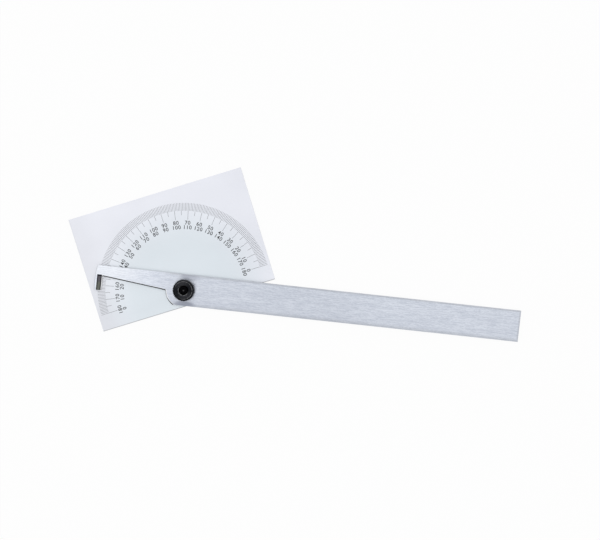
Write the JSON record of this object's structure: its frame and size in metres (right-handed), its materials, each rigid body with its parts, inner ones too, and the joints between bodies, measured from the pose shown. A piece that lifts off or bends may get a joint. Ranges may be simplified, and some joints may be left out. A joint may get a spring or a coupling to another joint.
{
  "type": "protractor",
  "caption": "Flat steel protractor: a rectangular head with an engraved half-circle dial, a long swinging blade with an index tail, and a knurled thumb nut that locks it.",
  "frame": {"origin": "on the pivot axis, in the plane of the head's flat back", "axes": "+X along the head's base edge towards the end where the outer scale reads zero, +Y from the base edge across the dial to the far edge, +Z out of the graduated face along the pivot"},
  "size_m": [0.1806, 0.1103, 0.0057],
  "materials": {
    "head_steel": "satin, pale, with a faint lengthwise grain",
    "blade_steel": "brushed along the blade, with visible grain",
    "blackened_steel": "black oxide, dull",
    "spring_steel": "plain spring steel",
    "shim_steel": "thin rolled shim stock",
    "black_fill": "matt black paint in the engraved lines and numerals"
  },
  "bodies": {
    "head": {"head_plate": "head_steel", "pivot_stud": "blackened_steel", "friction_shim": "shim_steel"},
    "blade": {"blade": "blade_steel"},
    "washer": {"spring_washer": "spring_steel"},
    "nut": {"thumb_nut": "blackened_steel"}
  },
  "joints": [
    {"name": "blade_swing", "type": "hinge", "parent": "head", "child": "blade", "pos_m": [0, 0, 0], "axis": [0, 0, 1], "continuous": true},
    {"name": "nut_lift", "type": "slide", "parent": "head", "child": "washer", "axis": [0, 0, 1], "range_m": [0, 0.0007]},
    {"name": "nut_turn", "type": "hinge", "parent": "washer", "child": "nut", "pos_m": [0, 0, 0], "axis": [0, 0, 1], "range_deg": [0, 360]}
  ],
  "couplings": [
    {"joint": "nut_turn", "follows": "nut_lift", "rad_per_m": 8975.9}
  ]
}
